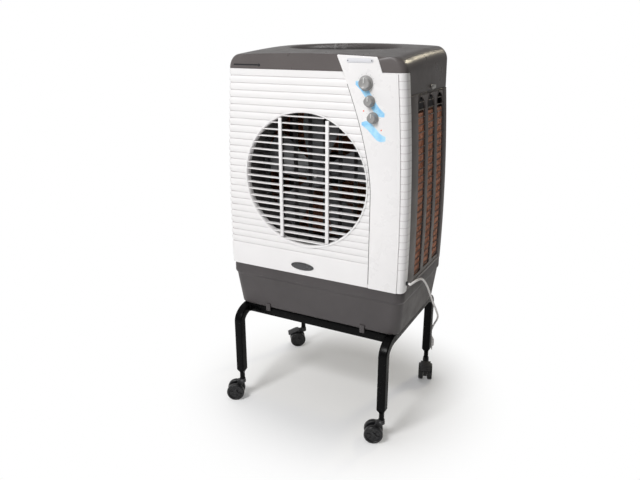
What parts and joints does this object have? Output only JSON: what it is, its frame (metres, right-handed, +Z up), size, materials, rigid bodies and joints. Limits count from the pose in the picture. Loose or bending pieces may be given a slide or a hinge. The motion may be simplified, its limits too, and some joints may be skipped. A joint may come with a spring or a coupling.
{
  "type": "evaporative cooler",
  "caption": "Upright evaporative air cooler with a round ribbed grille, louvred pad frames, a water tank and a caster stand.",
  "frame": {"origin": "on the floor under the middle of the cabinet", "axes": "+X to the side with the knobs, -Y out of the air grille, +Z up"},
  "size_m": [0.6496, 0.5285, 1.182],
  "materials": {
    "white_panel": "smooth white moulded plastic with a soft gloss",
    "grey_vane": "dark warm grey moulded plastic",
    "white_fitting": "satin white moulded plastic",
    "grey_casing": "warm grey moulded plastic with a fine grain",
    "dark_casing": "dark warm grey moulded plastic with a fine grain",
    "emblem_black": "gloss black plastic",
    "black_steel": "gloss black powder-coated steel tube",
    "black_plastic": "black moulded plastic",
    "hose_rubber": "black flexible hose",
    "caster_black": "black nylon",
    "knob_grey": "mid grey moulded plastic",
    "pad_fibre": "coarse brown wood-wool fibre",
    "zinc_steel": "zinc-plated steel",
    "motor_paint": "black enamelled motor casing",
    "cord_white": "off-white flexible cord sheath",
    "float_orange": "orange moulded plastic"
  },
  "bodies": {
    "cabinet": {"water_tank": "dark_casing", "front_panel": "white_panel", "front_grille": "white_panel", "control_panel": "white_panel", "nameplate": "white_panel", "badge": "emblem_black", "body_frame": "grey_casing", "top_hood": "grey_casing", "fan_shroud": "dark_casing", "motor_bracket": "zinc_steel", "fan_motor": "motor_paint", "louvre_frame": "dark_casing", "swing_motor": "zinc_steel", "water_distributor": "black_plastic", "water_pump": "black_plastic", "pump_hose": "hose_rubber", "speed_switch": "black_plastic", "pump_switch": "black_plastic", "swing_switch": "black_plastic", "float_valve": "white_fitting", "power_cord": "cord_white", "cord_gland": "black_plastic", "power_plug": "cord_white", "stand_frame": "black_steel"},
    "right_pad_door": {"right_pad_frame": "grey_casing", "right_pad": "pad_fibre"},
    "left_pad_door": {"left_pad_frame": "grey_casing", "left_pad": "pad_fibre"},
    "rear_pad_door": {"rear_pad_frame": "grey_casing", "rear_pad": "pad_fibre"},
    "right_turn_button": {"right_catch": "zinc_steel"},
    "left_turn_button": {"left_catch": "zinc_steel"},
    "rear_turn_button": {"rear_catch": "zinc_steel"},
    "tank_drain": {"drain_plug": "black_plastic"},
    "fan_rotor": {"fan": "black_plastic", "fan_shaft": "zinc_steel"},
    "speed_dial": {"speed_knob": "knob_grey"},
    "pump_dial": {"pump_knob": "knob_grey"},
    "swing_dial": {"swing_knob": "knob_grey"},
    "vane_1": {"swing_vane_1": "grey_vane"},
    "vane_2": {"swing_vane_2": "grey_vane"},
    "vane_3": {"swing_vane_3": "grey_vane"},
    "vane_4": {"swing_vane_4": "grey_vane"},
    "vane_5": {"swing_vane_5": "grey_vane"},
    "vane_6": {"swing_vane_6": "grey_vane"},
    "vane_7": {"swing_vane_7": "grey_vane"},
    "vane_link": {"vane_link_bar": "grey_vane"},
    "inlet_float": {"float_arm": "zinc_steel", "float_ball": "float_orange"},
    "caster_front_left": {"caster_housing_front_left": "caster_black"},
    "wheels_front_left": {"caster_wheels_front_left": "caster_black"},
    "caster_front_right": {"caster_housing_front_right": "caster_black"},
    "wheels_front_right": {"caster_wheels_front_right": "caster_black"},
    "caster_rear_left": {"caster_housing_rear_left": "caster_black"},
    "wheels_rear_left": {"caster_wheels_rear_left": "caster_black"},
    "caster_rear_right": {"caster_housing_rear_right": "caster_black"},
    "wheels_rear_right": {"caster_wheels_rear_right": "caster_black"},
    "brake_rear_left": {"brake_lever_rear_left": "caster_black"},
    "brake_rear_right": {"brake_lever_rear_right": "caster_black"}
  },
  "joints": [
    {"name": "right_pad_tilt", "type": "hinge", "parent": "cabinet", "child": "right_pad_door", "pos_m": [0.29924, 0, 0.5055], "axis": [0, 1, 0], "range_deg": [0, 20]},
    {"name": "left_pad_tilt", "type": "hinge", "parent": "cabinet", "child": "left_pad_door", "pos_m": [-0.29924, 0, 0.5055], "axis": [0, -1, 0], "range_deg": [0, 20]},
    {"name": "rear_pad_tilt", "type": "hinge", "parent": "cabinet", "child": "rear_pad_door", "pos_m": [0, 0.1905, 0.5055], "axis": [-1, 0, 0], "range_deg": [0, 20]},
    {"name": "right_catch_turn", "type": "hinge", "parent": "cabinet", "child": "right_turn_button", "pos_m": [0.2822, 0.02, 1.066], "axis": [-1, 0, 0], "range_deg": [0, 90]},
    {"name": "left_catch_turn", "type": "hinge", "parent": "cabinet", "child": "left_turn_button", "pos_m": [-0.2822, 0.02, 1.066], "axis": [-1, 0, 0], "range_deg": [0, 90]},
    {"name": "rear_catch_turn", "type": "hinge", "parent": "cabinet", "child": "rear_turn_button", "pos_m": [0, 0.1905, 1.066], "axis": [0, 1, 0], "range_deg": [0, 90]},
    {"name": "drain_plug_pull", "type": "slide", "parent": "cabinet", "child": "tank_drain", "axis": [0, 1, 0], "range_m": [0, 0.03]},
    {"name": "fan_spin", "type": "hinge", "parent": "cabinet", "child": "fan_rotor", "pos_m": [-0.0236, -0.096, 0.7956], "axis": [0, 1, 0], "continuous": true},
    {"name": "speed_knob_turn", "type": "hinge", "parent": "cabinet", "child": "speed_dial", "pos_m": [0.1713, -0.1959, 1.0863], "axis": [0, 1, 0], "range_deg": [0, 180]},
    {"name": "pump_knob_turn", "type": "hinge", "parent": "cabinet", "child": "pump_dial", "pos_m": [0.1834, -0.1959, 1.0392], "axis": [0, 1, 0], "range_deg": [0, 90]},
    {"name": "swing_knob_turn", "type": "hinge", "parent": "cabinet", "child": "swing_dial", "pos_m": [0.1943, -0.1959, 0.9956], "axis": [0, 1, 0], "range_deg": [0, 90]},
    {"name": "vane_1_swing", "type": "hinge", "parent": "cabinet", "child": "vane_1", "pos_m": [-0.1736, -0.15, 0.7956], "axis": [0, 0, 1], "range_deg": [-30, 30]},
    {"name": "vane_2_swing", "type": "hinge", "parent": "cabinet", "child": "vane_2", "pos_m": [-0.1236, -0.15, 0.7956], "axis": [0, 0, 1], "range_deg": [-30, 30]},
    {"name": "vane_3_swing", "type": "hinge", "parent": "cabinet", "child": "vane_3", "pos_m": [-0.0736, -0.15, 0.7956], "axis": [0, 0, 1], "range_deg": [-30, 30]},
    {"name": "vane_4_swing", "type": "hinge", "parent": "cabinet", "child": "vane_4", "pos_m": [-0.0236, -0.15, 0.7956], "axis": [0, 0, 1], "range_deg": [-30, 30]},
    {"name": "vane_5_swing", "type": "hinge", "parent": "cabinet", "child": "vane_5", "pos_m": [0.0264, -0.15, 0.7956], "axis": [0, 0, 1], "range_deg": [-30, 30]},
    {"name": "vane_6_swing", "type": "hinge", "parent": "cabinet", "child": "vane_6", "pos_m": [0.0764, -0.15, 0.7956], "axis": [0, 0, 1], "range_deg": [-30, 30]},
    {"name": "vane_7_swing", "type": "hinge", "parent": "cabinet", "child": "vane_7", "pos_m": [0.1264, -0.15, 0.7956], "axis": [0, 0, 1], "range_deg": [-30, 30]},
    {"name": "vane_link_turn", "type": "hinge", "parent": "vane_4", "child": "vane_link", "pos_m": [-0.0236, -0.131, 0.7306], "axis": [0, 0, 1], "range_deg": [-30, 30]},
    {"name": "float_rise", "type": "hinge", "parent": "cabinet", "child": "inlet_float", "pos_m": [-0.262, 0.125, 0.43], "axis": [0, 1, 0], "range_deg": [-6, 25]},
    {"name": "front_left_swivel", "type": "hinge", "parent": "cabinet", "child": "caster_front_left", "pos_m": [-0.26, -0.218, 0.075], "axis": [0, 0, 1], "continuous": true},
    {"name": "front_left_roll", "type": "hinge", "parent": "caster_front_left", "child": "wheels_front_left", "pos_m": [-0.28119, -0.22927, 0.03], "axis": [0.4695, -0.8829, 0], "continuous": true},
    {"name": "front_right_swivel", "type": "hinge", "parent": "cabinet", "child": "caster_front_right", "pos_m": [0.26, -0.218, 0.075], "axis": [0, 0, 1], "continuous": true},
    {"name": "front_right_roll", "type": "hinge", "parent": "caster_front_right", "child": "wheels_front_right", "pos_m": [0.23775, -0.22699, 0.03], "axis": [0.3746, -0.9272, 0], "continuous": true},
    {"name": "rear_left_swivel", "type": "hinge", "parent": "cabinet", "child": "caster_rear_left", "pos_m": [-0.26, 0.218, 0.075], "axis": [0, 0, 1], "continuous": true},
    {"name": "rear_left_roll", "type": "hinge", "parent": "caster_rear_left", "child": "wheels_rear_left", "pos_m": [-0.27966, 0.20423, 0.03], "axis": [0.5736, -0.8192, 0], "continuous": true},
    {"name": "rear_left_brake", "type": "hinge", "parent": "caster_rear_left", "child": "brake_rear_left", "pos_m": [-0.26983, 0.21112, 0.066], "axis": [0.5736, -0.8192, 0], "range_deg": [0, 7]},
    {"name": "rear_right_swivel", "type": "hinge", "parent": "cabinet", "child": "caster_rear_right", "pos_m": [0.26, 0.218, 0.075], "axis": [0, 0, 1], "continuous": true},
    {"name": "rear_right_roll", "type": "hinge", "parent": "caster_rear_right", "child": "wheels_rear_right", "pos_m": [0.26742, 0.19517, 0.03], "axis": [0.9511, 0.309, 0], "continuous": true},
    {"name": "rear_right_brake", "type": "hinge", "parent": "caster_rear_right", "child": "brake_rear_right", "pos_m": [0.26371, 0.20659, 0.066], "axis": [0.9511, 0.309, 0], "range_deg": [0, 7]}
  ],
  "couplings": [
    {"joint": "vane_1_swing", "follows": "vane_4_swing", "ratio": 1},
    {"joint": "vane_2_swing", "follows": "vane_4_swing", "ratio": 1},
    {"joint": "vane_3_swing", "follows": "vane_4_swing", "ratio": 1},
    {"joint": "vane_5_swing", "follows": "vane_4_swing", "ratio": 1},
    {"joint": "vane_6_swing", "follows": "vane_4_swing", "ratio": 1},
    {"joint": "vane_7_swing", "follows": "vane_4_swing", "ratio": 1},
    {"joint": "vane_link_turn", "follows": "vane_4_swing", "ratio": -1}
  ]
}
